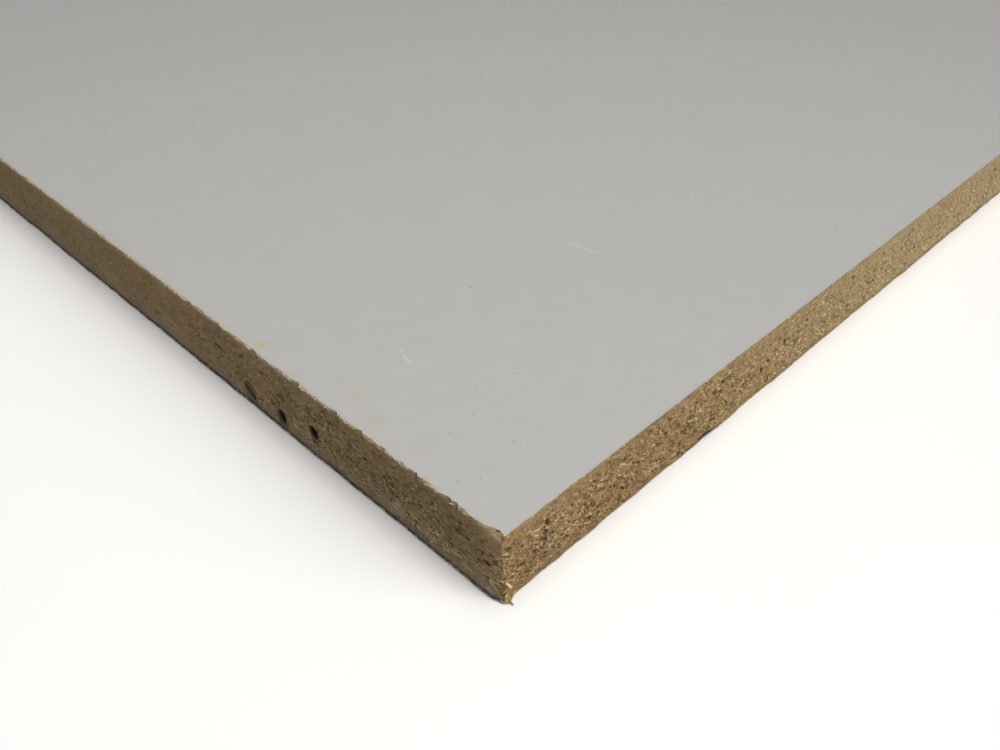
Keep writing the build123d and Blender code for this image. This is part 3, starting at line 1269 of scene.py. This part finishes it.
class BOARD_OT_facings(bpy.types.Operator):
    """Presses the pale facings on, torn along the short ends"""

    bl_idname = "board.facings"
    bl_label = "Facings"

    def execute(self, context):
        core, facing = context.scene.board_core, context.scene.board_facing
        rim = board_rim(core)
        skin, fibre = facing_material(facing), bpy.data.materials["raw_fibre"]
        sheets = (("top_sheet", "top_facing", False, 0.95), ("bottom_sheet", "bottom_facing", True, 0.5))
        for name, node, lower, corner_loss in sheets:
            arris = arris_outline(rim, lower)
            torn = torn_outline(rim, torn_back(rim, facing, lower), corner_loss)
            heights = [corner.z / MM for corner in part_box(node)]
            mesh = facing_mesh(name, rim, arris, torn, *(reversed(heights) if lower else heights))
            mesh.materials.append(skin)
            mesh.materials.append(fibre)
            settled(linked(name, mesh), "melamine_facing", node)
        return {"FINISHED"}


class BOARD_OT_chips(bpy.types.Operator):
    """Strews loose chips over the sawn edges, and a torn fringe below the upper facing"""

    bl_idname = "board.chips"
    bl_label = "Loose chips"

    def execute(self, context):
        core, chips = context.scene.board_core, context.scene.board_chips
        material = chip_material(core)
        skin = bpy.data.objects["sawn_core"].data
        kinds = (
            ("edge_chips", on_sawn_face, chips.chips, chips.chip_length, 0.34, 0.16, CHIP_SEED),
            ("torn_fringe", on_torn_corner, chips.fringe, chips.sliver_length, 0.26, 0.18, FRINGE_SEED),
        )
        for name, where, density, long, wide, thick, seed in kinds:
            tree = scatter_group(name, material, where)
            inputs = {
                "Density": density / MM**2,
                "Length": long,
                "Width share": wide,
                "Thickness share": thick,
                "Seed": seed,
            }
            settled(grown(name, skin.copy(), tree, inputs), "raw_core")
        mesh = slivers_mesh("corner_slivers", sliver_list())
        mesh.materials.append(material)
        settled(linked("corner_slivers", mesh), "raw_core")
        return {"FINISHED"}


# The photograph's camera: its place from the near corner of the upper face in millimetres, and its turns
CAMERA_PLACE = Vector((-76.338, -74.354, 122.713))
CAMERA_HEADING = math.radians(44.419)
CAMERA_TILT = math.radians(39.08)
CAMERA_ROLL = math.radians(0.3696)

# The lights' colour. Shadows are soft because a sun fills a wide angle and a soft box is large, in metres.
WARM_WHITE = (1.0, 0.985, 0.955)
SUN_WIDTH = math.radians(40.0)
BOX_SIDE = 0.50

# The floor reaches 20 m each way. It lies a hair below the board, so that the two don't share a plane.
FLOOR_HALF = 20.0
FLOOR_HEIGHT = -0.02 * MM


def broad_sun(name, toward, strength):
    """An even light from one side."""
    light = bpy.data.lights.new(name, "SUN")
    light.energy = strength
    light.angle = SUN_WIDTH
    light.color = WARM_WHITE
    linked(name, light).rotation_euler = Vector(toward).to_track_quat("Z", "Y").to_euler()


def soft_box(name, place, target, power):
    """A square light that points at a target and doesn't show."""
    light = bpy.data.lights.new(name, "AREA")
    light.size = BOX_SIDE
    light.energy = power
    light.color = WARM_WHITE
    lamp = linked(name, light)
    lamp.location = place
    lamp.rotation_euler = (Vector(target) - Vector(place)).to_track_quat("-Z", "Y").to_euler()
    lamp.visible_camera = False


def floor_material(studio):
    """Smooth pale paper with a trace of grain."""
    material, nodes = new_material("studio_floor")
    place = object_place(nodes)
    grain = nodes.noise(place, 0.02, detail=4.0)
    shade = nodes.mix(grain, scaled(studio.floor, 0.99), scaled(studio.floor, 1.01))
    close_material(nodes, shade, 0.9)
    return material


class BOARD_OT_studio(bpy.types.Operator):
    """Sets the pale floor, the soft lights and the camera"""

    bl_idname = "board.studio"
    bl_label = "Studio"

    def execute(self, context):
        studio = context.scene.board_studio
        context.scene.view_settings.view_transform = "Standard"
        self.add_floor(studio)
        self.add_lights(context.scene, studio)
        self.add_camera(context.scene, studio)
        return {"FINISHED"}

    def add_floor(self, studio):
        """A wide pale floor."""
        mesh = bpy.data.meshes.new("floor")
        ways = ((-1, -1), (1, -1), (1, 1), (-1, 1))
        corners = [(x * FLOOR_HALF, y * FLOOR_HALF, FLOOR_HEIGHT) for x, y in ways]
        mesh.from_pydata(corners, [], [(0, 1, 2, 3)])
        mesh.materials.append(floor_material(studio))
        linked("floor", mesh)

    def add_lights(self, scene, studio):
        """Even light from all round, two broad suns and two soft boxes by the photographed corner."""
        world = bpy.data.worlds.new("studio_sky")
        world.use_nodes = True
        inputs = world.node_tree.nodes["Background"].inputs
        inputs["Color"].default_value = (1.0, 1.0, 1.0, 1.0)
        inputs["Strength"].default_value = studio.sky
        scene.world = world
        broad_sun("front_sun", (0.40, -1.0, 0.55), studio.front_sun)
        broad_sun("high_sun", (0.5, 0.5, 1.6), studio.high_sun)
        for name, place, target, power in (
            ("top_box", (0.0, -0.06, 0.70), (0.04, 0.04, 0.0), studio.top_box),
            ("side_box", (-0.10, -0.35, 0.60), (0.02, 0.02, 0.0), studio.side_box),
        ):
            soft_box(name, NEAR_CORNER + Vector(place), NEAR_CORNER + Vector(target), power)

    def add_camera(self, scene, studio):
        """The photograph's camera, placed from the near corner of the upper face."""
        ahead = Vector((math.cos(CAMERA_HEADING), math.sin(CAMERA_HEADING), 0.0))
        forward = ahead * math.cos(CAMERA_TILT) - Vector((0.0, 0.0, math.sin(CAMERA_TILT)))
        level = Vector((ahead.y, -ahead.x, 0.0))
        right = level * math.cos(CAMERA_ROLL) + level.cross(forward) * math.sin(CAMERA_ROLL)
        up = right.cross(forward)
        place = NEAR_CORNER + CAMERA_PLACE * MM
        camera = bpy.data.cameras.new("camera")
        camera.lens = studio.focal_length
        camera.sensor_width = 36.0
        camera.clip_start = 0.005
        camera.clip_end = 50.0
        stand = linked("camera", camera)
        stand.matrix_world = Matrix.Translation(place) @ Matrix((right, up, -forward)).transposed().to_4x4()
        scene.camera = stand


class BOARD_PT_panel(bpy.types.Panel):
    """The board's settings and operators"""

    bl_idname = "BOARD_PT_panel"
    bl_label = "Board"
    bl_space_type = "VIEW_3D"
    bl_region_type = "UI"
    bl_category = "Board"

    def draw(self, context):
        for name in settings:
            group = getattr(context.scene, name)
            box = self.layout.box()
            for size in group.__annotations__:
                box.prop(group, size)
        for operator in operators:
            self.layout.operator(operator.bl_idname)


settings = {
    "board_core": CoreSettings,
    "board_facing": FacingSettings,
    "board_chips": ChipSettings,
    "board_studio": StudioSettings,
}
operators = (BOARD_OT_core, BOARD_OT_facings, BOARD_OT_chips, BOARD_OT_studio)


def register():
    for group in settings.values():
        bpy.utils.register_class(group)
    for operator in operators:
        bpy.utils.register_class(operator)
    bpy.utils.register_class(BOARD_PT_panel)
    for name, group in settings.items():
        setattr(bpy.types.Scene, name, bpy.props.PointerProperty(type=group))


def unregister():
    for name in settings:
        delattr(bpy.types.Scene, name)
    bpy.utils.unregister_class(BOARD_PT_panel)
    for operator in operators:
        bpy.utils.unregister_class(operator)
    for group in settings.values():
        bpy.utils.unregister_class(group)


def main():
    register()
    bpy.ops.board.core()
    bpy.ops.board.facings()
    bpy.ops.board.chips()
    bpy.ops.board.studio()


if __name__ == "__main__":
    main()
